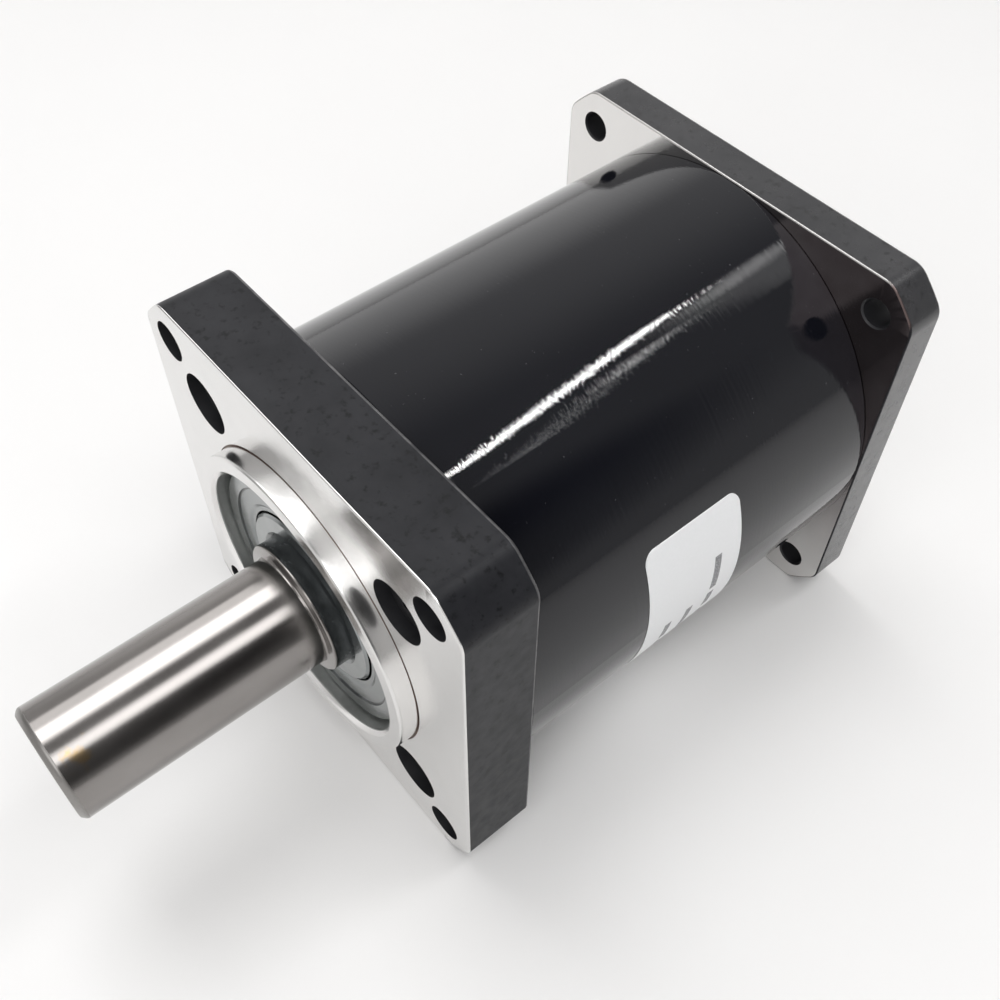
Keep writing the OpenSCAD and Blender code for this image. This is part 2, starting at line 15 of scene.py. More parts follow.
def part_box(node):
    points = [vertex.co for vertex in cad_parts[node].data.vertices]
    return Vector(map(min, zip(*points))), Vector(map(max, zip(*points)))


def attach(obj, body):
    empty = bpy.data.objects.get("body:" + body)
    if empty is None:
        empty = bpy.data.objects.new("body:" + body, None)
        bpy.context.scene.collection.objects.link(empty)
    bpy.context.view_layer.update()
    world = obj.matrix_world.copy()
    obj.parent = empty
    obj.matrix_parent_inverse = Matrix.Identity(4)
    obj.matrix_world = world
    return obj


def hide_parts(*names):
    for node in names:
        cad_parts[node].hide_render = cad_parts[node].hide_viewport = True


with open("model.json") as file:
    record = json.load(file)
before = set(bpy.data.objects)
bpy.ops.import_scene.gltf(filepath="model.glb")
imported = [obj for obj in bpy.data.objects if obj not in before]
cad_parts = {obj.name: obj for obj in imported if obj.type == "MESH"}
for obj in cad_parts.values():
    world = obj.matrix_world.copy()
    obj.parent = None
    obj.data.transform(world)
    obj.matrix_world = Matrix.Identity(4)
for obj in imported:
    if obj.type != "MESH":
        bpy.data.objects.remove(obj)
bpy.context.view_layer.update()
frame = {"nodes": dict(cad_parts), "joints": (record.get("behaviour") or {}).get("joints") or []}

MM = 0.001
SIDES = 192                       # sides of a turned surface
HOLE_SIDES = 64
ROUND_STEPS = 3                   # steps of a rounded edge
CORNER_STEPS = 10                 # steps of each arc in a flange corner
SHARP_ANGLE = 32                  # degrees; edges that turn more are shaded sharp


# ---- Sizes, read off the frame ----

def span(node, axis):
    """Lowest and highest coordinate of a node along an axis, in mm."""
    low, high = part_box(node)
    return low[axis] / MM, high[axis] / MM


FLANGE_HALF = span("front_flange", 0)[1]
PILOT_FRONT, SPIGOT_END = span("front_flange", 1)
REAR_SPIGOT_FRONT, REAR_BACK = span("rear_flange", 1)
CASE_BACK = span("ring_gear_case", 1)[1]
LABEL_BACK = span("label", 1)[1]
SHAFT_TIP, CARRIER_BACK = span("output_shaft", 1)
CARRIER_R = span("output_shaft", 0)[1]

# ---- Sizes of details, in mm ----

CORNER_R = 37.5                   # flange corners, turned about the shaft axis
CORNER_BLEND = 3.0                # radius between a flange side and its corner
EDGE_BREAK_FACE = 0.2             # broken flange edge beside a machined face
EDGE_BREAK = 0.4                  # the other broken flange edges
FRONT_T = 9.5                     # front flange thickness
BOLT_HALF = 23.57                 # half the square of the outer holes
FRONT_HOLE_R = 2.5
REAR_HOLE_R = 1.85
REAR_HOLE_CHAMFER = 0.2
CASE_SCREW_HALF = 18.0            # half the square of the case screws
SCREW_HOLE_R = 2.2
COUNTERBORE_R = 3.875
COUNTERBORE_DEPTH = 5.5
COUNTERSINK_R = 4.0
COUNTERSINK_DEPTH = 2.0

PILOT_R = 20.0
PILOT_ROUND = 0.45                # rounded front edge of the boss
GROOVE_DEPTH = 0.14               # undercut at the foot of the boss
BORE_R = 17.5                     # bearing bore
BORE_LIP_R = 15.5                 # lip behind the bearings
BORE_LIP_T = 0.8
SPIGOT_R = 21.98                  # spigots of both flanges, in the case
SPIGOT_CHAMFER = 0.3
OPENING_R = 12.0                  # way in for the motor shaft
RECESS_R = 19.075                 # motor pilot recess
RECESS_DEPTH = 2.0
RECESS_CHAMFER = 0.25

SHAFT_R = 7.0
SHAFT_CHAMFER = 0.6
JOURNAL_R = 8.5
STEP_Y = -3.0                     # step from journal to shaft
HUB_R = 10.5
HUB_FRONT = 21.8
CARRIER_FRONT = 23.0
CARRIER_CHAMFER = 0.3
OUTPUT_PIN_R = 2.5


# ---- Shader helpers ----

class Shader:
    """A node material under construction, with short names for the nodes it needs."""

    def __init__(self, name):
        self.material = bpy.data.materials.new(name)
        self.material.use_nodes = True
        self.tree = self.material.node_tree
        self.tree.nodes.clear()
        self.surface = self.node("ShaderNodeBsdfPrincipled")
        output = self.node("ShaderNodeOutputMaterial")
        self.link(self.surface.outputs["BSDF"], output.inputs["Surface"])
        self.place = self.node("ShaderNodeTexCoord").outputs["Object"]

    def node(self, kind, **settings):
        """A new node with its settings."""
        made = self.tree.nodes.new(kind)
        for key, value in settings.items():
            setattr(made, key, value)
        return made

    def link(self, source, target):
        self.tree.links.new(source, target)

    def set(self, **values):
        """Sets the surface's own sockets: underscores in a name stand for spaces."""
        for key, value in values.items():
            name = key.replace("_", " ").title().replace("Ior", "IOR")
            self.surface.inputs[name].default_value = value

    def feed(self, socket, source):
        """Drives one of the surface's own sockets."""
        self.link(source, self.surface.inputs[socket])

    def stretched(self, scale):
        """Object coordinates in mm, scaled along each axis."""
        mapping = self.node("ShaderNodeMapping")
        mapping.inputs["Scale"].default_value = [s / MM for s in scale]
        self.link(self.place, mapping.inputs["Vector"])
        return mapping.outputs["Vector"]

    def noise(self, scale, detail=3.0, roughness=0.5, vector=None):
        """Noise of 0 to 1; scale is in cycles a mm along each axis."""
        made = self.node("ShaderNodeTexNoise")
        made.inputs["Scale"].default_value = 1.0
        made.inputs["Detail"].default_value = detail
        made.inputs["Roughness"].default_value = roughness
        self.link(vector or self.stretched(scale), made.inputs["Vector"])
        return made.outputs["Fac"]

    def ramp(self, source, low, high, out_low=0.0, out_high=1.0):
        """Maps low..high to out_low..out_high, and holds outside it."""
        made = self.node("ShaderNodeMapRange")
        made.inputs["From Min"].default_value = low
        made.inputs["From Max"].default_value = high
        made.inputs["To Min"].default_value = out_low
        made.inputs["To Max"].default_value = out_high
        self.link(source, made.inputs["Value"])
        return made.outputs["Result"]

    def math(self, operation, a, b=None):
        """One operation on numbers or sockets."""
        made = self.node("ShaderNodeMath", operation=operation)
        for socket, value in zip(made.inputs, (a, b)):
            if value is None:
                continue
            if isinstance(value, (int, float)):
                socket.default_value = value
            else:
                self.link(value, socket)
        return made.outputs[0]

    def mix(self, factor, a, b):
        """Mixes two colours; each is a colour or a socket."""
        made = self.node("ShaderNodeMix", data_type="RGBA")
        sockets = (made.inputs[0], made.inputs[6], made.inputs[7])
        for socket, value in zip(sockets, (factor, a, b)):
            if isinstance(value, bpy.types.NodeSocket):
                self.link(value, socket)
            elif isinstance(value, (int, float)):
                socket.default_value = value
            else:
                socket.default_value = (*value, 1.0)
        return made.outputs[2]

    def bump(self, height, strength, distance_mm, after=None):
        """Normal of a fine relief, laid over another one if there is one."""
        made = self.node("ShaderNodeBump")
        made.inputs["Strength"].default_value = strength
        made.inputs["Distance"].default_value = distance_mm * MM
        self.link(height, made.inputs["Height"])
        if after:
            self.link(after, made.inputs["Normal"])
        return made.outputs["Normal"]

    def axes(self):
        """The x, y and z of the place, in mm."""
        split = self.node("ShaderNodeSeparateXYZ")
        self.link(self.stretched((1, 1, 1)), split.inputs[0])
        return split.outputs

    def radius(self):
        """Distance from the shaft axis, in mm."""
        x, _, z = self.axes()
        squares = self.math("ADD", self.math("MULTIPLY", x, x), self.math("MULTIPLY", z, z))
        return self.math("SQRT", squares)


def turning_marks(shader, along, fineness):
    """Fine rings: noise that changes only with one coordinate, in cycles a mm."""
    combine = shader.node("ShaderNodeCombineXYZ")
    shader.link(shader.math("MULTIPLY", along, fineness), combine.inputs[0])
    return shader.noise((1, 1, 1), 2.0, 0.6, combine.outputs[0])


# ---- Materials ----

def machined_aluminium():
    """Faced bright aluminium: faint turning rings and soft stains."""
    s = Shader("machined_aluminium")
    cloud = s.noise((0.10, 0.10, 0.10), 4.0, 0.6)
    s.feed("Base Color", s.mix(cloud, (0.74, 0.735, 0.725), (0.80, 0.795, 0.785)))
    s.feed("Roughness", s.ramp(s.noise((0.3, 0.3, 0.3), 4.0), 0.3, 0.7, 0.17, 0.25))
    rings = turning_marks(s, s.radius(), 6.0)
    grain = s.noise((4.0, 4.0, 4.0), 3.0)
    s.feed("Normal", s.bump(s.math("ADD", rings, grain), 0.10, 0.005))
    s.set(metallic=1.0)
    return s.material


def lapped_aluminium():
    """Finely faced aluminium of the motor flange. Towards +X and up it turns dark brownish:
    painted shade and a painted reflection of the dark case, over a brown oil stain.
    """
    s = Shader("lapped_aluminium")
    x, _, z = s.axes()
    cloud = s.noise((0.10, 0.10, 0.10), 4.0, 0.6)
    base = s.mix(cloud, (0.70, 0.69, 0.68), (0.80, 0.79, 0.775))
    # Painted shade and painted reflection of the dark case: the film darkens the face towards +X
    # and up, and part of its brown is an oil stain.
    corner = s.ramp(s.math("ADD", x, s.math("MULTIPLY", z, 0.7)), 10.0, 32.0)
    film = s.mix(s.noise((0.25, 0.25, 0.25), 4.0), (0.17, 0.135, 0.135), (0.34, 0.30, 0.31))
    s.feed("Base Color", s.mix(corner, base, film))
    s.feed("Roughness", s.ramp(cloud, 0.3, 0.7, 0.07, 0.13))
    scratches = s.noise((0.5, 3.0, 6.0), 3.0)
    s.feed("Normal", s.bump(scratches, 0.08, 0.004))
    s.set(metallic=1.0)
    return s.material


def polished_boss():
    """Turned and polished aluminium of the pilot boss."""
    s = Shader("polished_aluminium")
    cloud = s.noise((0.3, 0.3, 0.3), 3.0)
    s.feed("Base Color", s.mix(cloud, (0.84, 0.83, 0.82), (0.92, 0.91, 0.90)))
    s.feed("Roughness", s.ramp(cloud, 0.3, 0.7, 0.16, 0.24))
    s.feed("Normal", s.bump(turning_marks(s, s.axes()[1], 14.0), 0.08, 0.01))
    s.set(metallic=1.0)
    return s.material


def bore_grey():
    """Bored aluminium wall, dulled by oil."""
    s = Shader("bored_aluminium")
    cloud = s.noise((0.8, 0.8, 0.8), 4.0, 0.6)
    s.feed("Base Color", s.mix(cloud, (0.30, 0.31, 0.30), (0.48, 0.49, 0.48)))
    s.feed("Roughness", s.ramp(cloud, 0.3, 0.7, 0.30, 0.42))
    s.feed("Normal", s.bump(turning_marks(s, s.axes()[1], 8.0), 0.15, 0.01))
    s.set(metallic=1.0)
    return s.material


def groove_stain():
    """Undercut at the foot of the boss, with a brown rest of polish in it."""
    s = Shader("groove_stain")
    cloud = s.noise((0.6, 0.6, 0.6), 3.0)
    s.feed("Base Color", s.mix(cloud, (0.10, 0.055, 0.04), (0.26, 0.19, 0.16)))
    s.feed("Roughness", s.ramp(cloud, 0.3, 0.7, 0.3, 0.45))
    s.set(metallic=0.9)
    return s.material


def black_anodised(name, dark, light, rough, specular):
    """Black anodised aluminium with soft clouds and dark mottling."""
    s = Shader(name)
    cloud = s.ramp(s.noise((0.16, 0.16, 0.16), 5.0, 0.65), 0.3, 0.7)
    mottle = s.ramp(s.noise((1.1, 1.1, 1.1), 3.0, 0.6), 0.56, 0.70)
    base = s.mix(cloud, dark, light)
    s.feed("Base Color", s.mix(mottle, base, [0.45 * value for value in dark]))
    s.feed("Roughness", s.ramp(s.noise((0.6, 0.6, 0.6), 4.0), 0.3, 0.7, *rough))
    s.feed("Normal", s.bump(s.noise((5, 5, 5), 3.0), 0.10, 0.01))
    s.set(specular_ior_level=specular)
    return s.material


def rear_edge():
    """Broken front edge of the motor flange: bare on most sides, darker brown-grey at the corners
    towards +X and black along the +X side."""
    s = Shader("rear_edge")
    x = s.axes()[0]
    cloud = s.noise((0.8, 0.8, 0.8), 3.0)
    bare = s.mix(cloud, (0.42, 0.41, 0.40), (0.62, 0.61, 0.60))
    darker_to_plus_x = s.mix(s.ramp(x, 23.5, 24.5), bare, (0.16, 0.12, 0.115))
    s.feed("Base Color", s.mix(s.ramp(x, 27.8, 28.2), darker_to_plus_x, (0.020, 0.020, 0.023)))
    s.feed("Roughness", s.ramp(cloud, 0.3, 0.7, 0.25, 0.4))
    s.set(metallic=0.9)
    return s.material


def hole_black():
    """Unlit black anodising inside the holes."""
    s = Shader("hole_black")
    cloud = s.noise((0.8, 0.8, 0.8), 3.0)
    s.feed("Base Color", s.mix(cloud, (0.006, 0.006, 0.008), (0.014, 0.014, 0.017)))
    s.feed("Roughness", s.ramp(cloud, 0.3, 0.7, 0.5, 0.65))
    return s.material


def worn_edge():
    """Edge where the black coat has been rubbed off."""
    s = Shader("worn_edge")
    patches = s.ramp(s.noise((0.35, 0.35, 0.35), 5.0, 0.7), 0.35, 0.65)
    s.feed("Base Color", s.mix(patches, (0.055, 0.055, 0.06), (0.17, 0.168, 0.17)))
    s.feed("Roughness", s.ramp(patches, 0.0, 1.0, 0.42, 0.34))
    s.set(metallic=0.4)
    return s.material


def gloss_black():
    """Lacquered black tube: turning rings that fray a highlight, and a little dust."""
    s = Shader("gloss_black")
    dust = s.ramp(s.noise((2.2, 2.2, 2.2), 2.0), 0.74, 0.78)
    cloud = s.noise((0.05, 0.05, 0.05), 3.0)
    base = s.mix(cloud, (0.0040, 0.0043, 0.0068), (0.0070, 0.0075, 0.0108))
    s.feed("Base Color", s.mix(dust, base, (0.05, 0.05, 0.055)))
    s.feed("Roughness", s.ramp(s.noise((0.4, 0.1, 0.4), 4.0), 0.3, 0.7, 0.015, 0.035))
    rings = turning_marks(s, s.axes()[1], 2.2)
    fine = turning_marks(s, s.axes()[1], 7.0)
    uneven = s.bump(s.noise((0.9, 2.4, 0.9), 3.0), 0.07, 0.005)
    s.feed("Normal", s.bump(s.math("ADD", rings, s.math("MULTIPLY", fine, 0.5)), 0.4, 0.025,
                            uneven))
    s.set(ior=1.52)
    return s.material


def steel(name, dark, light, rough, along="y"):
    """Turned or ground steel with fine rings along y or along the radius."""
    s = Shader(name)
    cloud = s.noise((0.3, 0.3, 0.3), 4.0, 0.6)
    s.feed("Base Color", s.mix(cloud, dark, light))
    s.feed("Roughness", s.ramp(s.noise((0.7, 0.7, 0.7), 3.0), 0.3, 0.7, *rough))
    coordinate = s.axes()[1] if along == "y" else s.radius()
    s.feed("Normal", s.bump(turning_marks(s, coordinate, 9.0), 0.12, 0.01))
    s.set(metallic=1.0)
    return s.material


def shield_steel():
    """Pressed bearing shield: smooth grey steel, with its outer rim, where it is clipped in, near
    black as painted shade.
    """
    s = Shader("shield_steel")
    radius = s.radius()
    cloud = s.noise((0.3, 0.3, 0.3), 4.0, 0.6)
    base = s.mix(cloud, (0.22, 0.235, 0.235), (0.31, 0.325, 0.325))
    # Painted shade: the shield's outer rim goes near black for the shade in the gap beside the
    # outer ring.
    painted_shade_rim = s.ramp(radius, 14.66, 14.78)
    s.feed("Base Color", s.mix(painted_shade_rim, base, (0.015, 0.016, 0.018)))
    s.feed("Roughness", s.ramp(cloud, 0.3, 0.7, 0.16, 0.24))
    s.feed("Normal", s.bump(turning_marks(s, radius, 4.0), 0.10, 0.01))
    s.set(metallic=1.0)
    return s.material


def shaft_steel():
    """Ground shaft: brushed round its axis, with a spot of dried oil near the tip."""
    s = Shader("shaft_steel")
    cloud = s.noise((0.16, 0.10, 0.16), 4.0, 0.6)
    base = s.mix(cloud, (0.24, 0.225, 0.215), (0.33, 0.315, 0.305))
    spot = s.node("ShaderNodeVectorMath", operation="DISTANCE")
    s.link(s.stretched((1, 1, 1)), spot.inputs[0])
    spot.inputs[1].default_value = (SHAFT_R * 0.62, SHAFT_TIP + 3.2, SHAFT_R * 0.78)
    wobble = s.ramp(s.noise((0.9, 0.9, 0.9), 3.0), 0.3, 0.7, -0.9, 0.9)
    near = s.ramp(s.math("ADD", spot.outputs["Value"], wobble), 0.3, 1.5, 0.6, 0.0)
    s.feed("Base Color", s.mix(near, base, (0.42, 0.27, 0.09)))
    s.feed("Roughness", s.ramp(cloud, 0.3, 0.7, 0.14, 0.19))
    rings = turning_marks(s, s.axes()[1], 12.0)
    grain = s.noise((3.0, 9.0, 3.0), 3.0)
    s.feed("Normal", s.bump(s.math("ADD", rings, grain), 0.16, 0.006))
    s.set(metallic=1.0)
    return s.material


def oily_journal():
    """Dark greased journal between the step and the bearing."""
    s = Shader("oily_journal")
    smear = s.noise((0.5, 0.9, 0.5), 5.0, 0.65)
    s.feed("Base Color", s.mix(smear, (0.035, 0.040, 0.043), (0.16, 0.17, 0.175)))
    s.feed("Roughness", s.ramp(smear, 0.3, 0.7, 0.12, 0.30))
    s.feed("Normal", s.bump(s.noise((1.4, 2.2, 1.4), 4.0), 0.35, 0.05))
    s.set(metallic=0.8)
    return s.material


def black_oxide():
    """Blackened screw steel."""
    s = Shader("black_oxide")
    cloud = s.noise((1.5, 1.5, 1.5), 4.0)
    s.feed("Base Color", s.mix(cloud, (0.014, 0.014, 0.016), (0.034, 0.034, 0.037)))
    s.feed("Roughness", s.ramp(cloud, 0.3, 0.7, 0.35, 0.5))
    s.feed("Normal", s.bump(cloud, 0.15, 0.01))
    s.set(metallic=0.6)
    return s.material


def bronze():
    """Sintered bronze with open pores."""
    s = Shader("sintered_bronze")
    cloud = s.noise((1.0, 1.0, 1.0), 4.0)
    pores = s.ramp(s.noise((9, 9, 9), 2.0), 0.60, 0.70)
    base = s.mix(cloud, (0.46, 0.27, 0.11), (0.60, 0.38, 0.17))
    s.feed("Base Color", s.mix(pores, base, (0.16, 0.09, 0.04)))
    s.feed("Roughness", s.ramp(pores, 0.0, 1.0, 0.35, 0.6))
    s.feed("Normal", s.bump(pores, 0.2, 0.01))
    s.set(metallic=1.0)
    return s.material


def label_film():
    """White label film with three rows of plain dark bars, which run round the case."""
    s = Shader("label_film")
    x, y, z = s.axes()
    angle = s.math("MULTIPLY", s.math("ARCTAN2", z, x), 180 / math.pi)
    first_row, row_pitch, bar_half = 3.8, 3.6, 0.55
    rows = (((9.0, -4.0), (-6.0, -13.0), (-16.0, -30.0)),       # start and end, degrees
            ((-6.0, -17.0), (-19.5, -24.0), (-26.5, -38.0)),
            ((-6.0, -14.0), (-16.5, -26.0)))
    ink = None
    for row, bars in enumerate(rows):
        centre = LABEL_BACK - first_row - row_pitch * row
        across = s.math("ABSOLUTE", s.math("SUBTRACT", y, centre))
        line = s.math("LESS_THAN", across, bar_half)
        for start, end in bars:
            within = s.math("MULTIPLY", s.math("LESS_THAN", angle, start),
                            s.math("GREATER_THAN", angle, end))
            bar = s.math("MULTIPLY", line, within)
            ink = s.math("MAXIMUM", ink, bar) if ink else bar
    fibre = s.noise((3, 3, 3), 4.0)
    paper = s.mix(fibre, (0.83, 0.84, 0.85), (0.88, 0.89, 0.90))
    worn = s.ramp(s.noise((6, 6, 6), 2.0), 0.35, 0.5, 0.55, 0.9)
    s.feed("Base Color", s.mix(s.math("MULTIPLY", ink, worn), paper, (0.09, 0.09, 0.10)))
    s.feed("Roughness", s.ramp(fibre, 0.3, 0.7, 0.32, 0.42))
    s.feed("Normal", s.bump(fibre, 0.08, 0.01))
    return s.material


def table_white():
    """Pale studio table with a faint grain."""
    s = Shader("table_white")
    grain = s.noise((0.02, 0.02, 0.02), 3.0)
    s.feed("Base Color", s.mix(grain, (0.86, 0.855, 0.85), (0.89, 0.885, 0.88)))
    s.set(roughness=0.55)
    return s.material


# ---- Mesh helpers ----

def finish_mesh(name, bm, materials, body, replaced):
    """Turns a bmesh in mm into a smooth-shaded piece that rides on a body. Its normals
    follow the large faces, so that long turned and flat ones reflect straight."""
    bmesh.ops.remove_doubles(bm, verts=bm.verts, dist=1e-4)
    bmesh.ops.recalc_face_normals(bm, faces=bm.faces)
    for vert in bm.verts:
        vert.co *= MM
    mesh = bpy.data.meshes.new(name)
    bm.to_mesh(mesh)
    bm.free()
    for material in materials:
        mesh.materials.append(material)
    mesh.shade_smooth()
    mesh.set_sharp_from_angle(angle=math.radians(SHARP_ANGLE))
    piece = bpy.data.objects.new(name, mesh)
    bpy.context.scene.collection.objects.link(piece)
    shading = piece.modifiers.new("shading", "WEIGHTED_NORMAL")
    shading.weight = 100
    shading.keep_sharp = True
    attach(piece, body)
    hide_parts(*replaced)


def ring_at(bm, r, y, centre=(0.0, 0.0), sides=SIDES):
    """Circle of vertices about an axis along Y through centre (x, z)."""
    return [bm.verts.new((centre[0] + r * math.cos(2 * math.pi * i / sides), y,
                          centre[1] + r * math.sin(2 * math.pi * i / sides)))
            for i in range(sides)]


def bridge(bm, lower, upper, material=0):
    """Faces between two loops with the same number of vertices."""
    count = len(lower)
    for i in range(count):
        j = (i + 1) % count
        face = bm.faces.new((lower[i], lower[j], upper[j], upper[i]))
        face.material_index = material


def cap(bm, loops, material=0):
    """Flat face inside the first loop and outside the others."""
    edges = []
    for loop in loops:
        for i, vert in enumerate(loop):
            pair = (vert, loop[(i + 1) % len(loop)])
            edges.append(bm.edges.get(pair) or bm.edges.new(pair))
    made = bmesh.ops.triangle_fill(bm, edges=edges, use_beauty=True)
    for item in made["geom"]:
        if isinstance(item, bmesh.types.BMFace):
            item.material_index = material


def lathe(bm, profile, centre=(0.0, 0.0), sides=SIDES):
    """Turns a profile of (radius, y, material) about the axis; the last point's material
    is not used. Returns the first and the last loop."""
    loops = [ring_at(bm, r, y, centre, sides) for r, y, _ in profile]
    for i in range(len(loops) - 1):
        bridge(bm, loops[i], loops[i + 1], profile[i][2])
    return loops[0], loops[-1]


def rounded(corner, before, after, radius, material):
    """Points of a rounded profile corner between two neighbouring profile points."""
    corner, before, after = (Vector(p) for p in (corner, before, after))
    start = corner + (before - corner).normalized() * radius
    end = corner + (after - corner).normalized() * radius
    points = []
    for i in range(ROUND_STEPS + 1):
        t = i / ROUND_STEPS
        point = start.lerp(corner, t).lerp(corner.lerp(end, t), t)
        points.append((point.x, point.y, material))
    return points


def plate_outline(bm, inset, y):
    """Loop of the square flange: flat sides, corners turned about the axis, and a blend
    between each side and its corner."""
    x = FLANGE_HALF - CORNER_BLEND
    z = math.sqrt((CORNER_R - CORNER_BLEND) ** 2 - x * x)
    turn = math.atan2(z, x)
    blend, turned = CORNER_BLEND - inset, CORNER_R - inset
    corner = []
    for i in range(CORNER_STEPS + 1):
        a = turn * i / CORNER_STEPS
        corner.append((x + blend * math.cos(a), z + blend * math.sin(a)))
    for i in range(1, CORNER_STEPS):
        a = turn + (math.pi / 2 - 2 * turn) * i / CORNER_STEPS
        corner.append((turned * math.cos(a), turned * math.sin(a)))
    corner += [(b, a) for a, b in reversed(corner[:CORNER_STEPS + 1])]
    loop = []
    for c, s in ((1, 0), (0, 1), (-1, 0), (0, -1)):
        loop += [bm.verts.new((a * c - b * s, y, a * s + b * c)) for a, b in corner]
    return loop


def plate_rim(bm, front, back, materials):
    """Outside of a flange, with rounded front and back edges. materials are those of the
    front edge, the sides and the back edge. Returns the front and the back loop."""
    turns = [math.pi / 2 * i / ROUND_STEPS for i in range(ROUND_STEPS + 1)]
    stations = []
    for a in turns:
        inset = EDGE_BREAK_FACE * (1 - math.sin(a))
        stations.append((inset, front + EDGE_BREAK_FACE * (1 - math.cos(a)), materials[0]))
    stations[-1] = (0.0, front + EDGE_BREAK_FACE, materials[1])
    for a in turns:
        inset = EDGE_BREAK * (1 - math.cos(a))
        stations.append((inset, back - EDGE_BREAK * (1 - math.sin(a)), materials[2]))
    loops = [plate_outline(bm, inset, y) for inset, y, _ in stations]
    for i in range(len(loops) - 1):
        bridge(bm, loops[i], loops[i + 1], stations[i][2])
    return loops[0], loops[-1]


def corners(half):
    """The four corners (x, z) of a square about the axis."""
    return [(x * half, z * half) for x in (-1, 1) for z in (-1, 1)]


def drilled(bm, half, steps, material):
    """Four holes on a square, each turned from (radius, y) steps. Returns the front and
    the back loops."""
    fronts, backs = [], []
    for centre in corners(half):
        profile = [(r, y, material) for r, y in steps]
        first, last = lathe(bm, profile, centre, HOLE_SIDES)
        fronts.append(first)
        backs.append(last)
    return fronts, backs


# ---- Case pieces ----

def front_flange(m):
    """Flange, pilot boss, bearing bore and rear spigot as one turned and milled piece."""
    bright, polished, bore, groove, black, hole, worn = range(7)
    bm = bmesh.new()
    rim_front, rim_back = plate_rim(bm, 0.0, FRONT_T, (bright, black, worn))
    bolt_steps = [(FRONT_HOLE_R, 0.0), (FRONT_HOLE_R, FRONT_T)]
    bolt_front, bolt_back = drilled(bm, BOLT_HALF, bolt_steps, hole)
    screw_steps = [(COUNTERBORE_R, 0.0), (COUNTERBORE_R, COUNTERBORE_DEPTH),
                   (SCREW_HOLE_R, COUNTERBORE_DEPTH), (SCREW_HOLE_R, FRONT_T)]
    screw_front, screw_back = drilled(bm, CASE_SCREW_HALF, screw_steps, hole)
    boss = [(PILOT_R + 0.24, 0.0, groove), (PILOT_R + 0.18, GROOVE_DEPTH, groove),
            (PILOT_R + 0.04, GROOVE_DEPTH, groove), (PILOT_R, 0.0, polished)]
    boss += rounded((PILOT_R, PILOT_FRONT), (PILOT_R, 0), (BORE_R, PILOT_FRONT), PILOT_ROUND,
                    bright)
    boss += [(BORE_R + 0.6, PILOT_FRONT, polished), (BORE_R + 0.1, PILOT_FRONT + 0.42, bore),
             (BORE_R, PILOT_FRONT + 0.6, bore)]
    boss += [(BORE_R, SPIGOT_END - BORE_LIP_T, bore), (BORE_LIP_R, SPIGOT_END - BORE_LIP_T, bore),
             (BORE_LIP_R, SPIGOT_END, bright), (SPIGOT_R - SPIGOT_CHAMFER, SPIGOT_END, bright),
             (SPIGOT_R, SPIGOT_END - SPIGOT_CHAMFER, bright), (SPIGOT_R, FRONT_T, bright)]
    boss_front, spigot_back = lathe(bm, boss)
    cap(bm, [rim_front, boss_front, *bolt_front, *screw_front], bright)
    cap(bm, [rim_back, spigot_back, *bolt_back, *screw_back], black)
    slots = [m[key] for key in ("bright", "polished", "bore", "groove", "anodised", "hole",
                                "worn")]
    finish_mesh("front_flange_body", bm, slots, "housing", ["front_flange"])


def rear_flange(m):
    """Motor flange with tapped holes, countersinks, pilot recess and spigot."""
    face, bright, black, hole, worn, edge = range(6)
    bm = bmesh.new()
    front, back = CASE_BACK, REAR_BACK
    rim_front, rim_back = plate_rim(bm, front, back, (edge, black, worn))
    chamfered_r = REAR_HOLE_R + REAR_HOLE_CHAMFER
    bolt_steps = [(chamfered_r, front), (REAR_HOLE_R, front + REAR_HOLE_CHAMFER),
                  (REAR_HOLE_R, back - REAR_HOLE_CHAMFER), (chamfered_r, back)]
    bolt_front, bolt_back = drilled(bm, BOLT_HALF, bolt_steps, hole)
    screw_steps = [(SCREW_HOLE_R, front), (SCREW_HOLE_R, back - COUNTERSINK_DEPTH),
                   (COUNTERSINK_R, back)]
    screw_front, screw_back = drilled(bm, CASE_SCREW_HALF, screw_steps, hole)
    recess = back - RECESS_DEPTH
    turned = [(SPIGOT_R, front), (SPIGOT_R, REAR_SPIGOT_FRONT + SPIGOT_CHAMFER),
              (SPIGOT_R - SPIGOT_CHAMFER, REAR_SPIGOT_FRONT),
              (OPENING_R + SPIGOT_CHAMFER, REAR_SPIGOT_FRONT),
              (OPENING_R, REAR_SPIGOT_FRONT + SPIGOT_CHAMFER),
              (OPENING_R, recess - 0.2), (OPENING_R + 0.2, recess), (RECESS_R, recess),
              (RECESS_R, back - RECESS_CHAMFER), (RECESS_R + RECESS_CHAMFER, back)]
    spigot_front, recess_back = lathe(bm, [(r, y, bright) for r, y in turned])
    cap(bm, [rim_front, spigot_front, *bolt_front, *screw_front], face)
    cap(bm, [rim_back, recess_back, *bolt_back, *screw_back], bright)
    slots = [m[key] for key in ("lapped", "bright", "rear_anodised", "hole", "worn",
                                "rear_edge")]
    finish_mesh("rear_flange_body", bm, slots, "housing", ["rear_flange"])


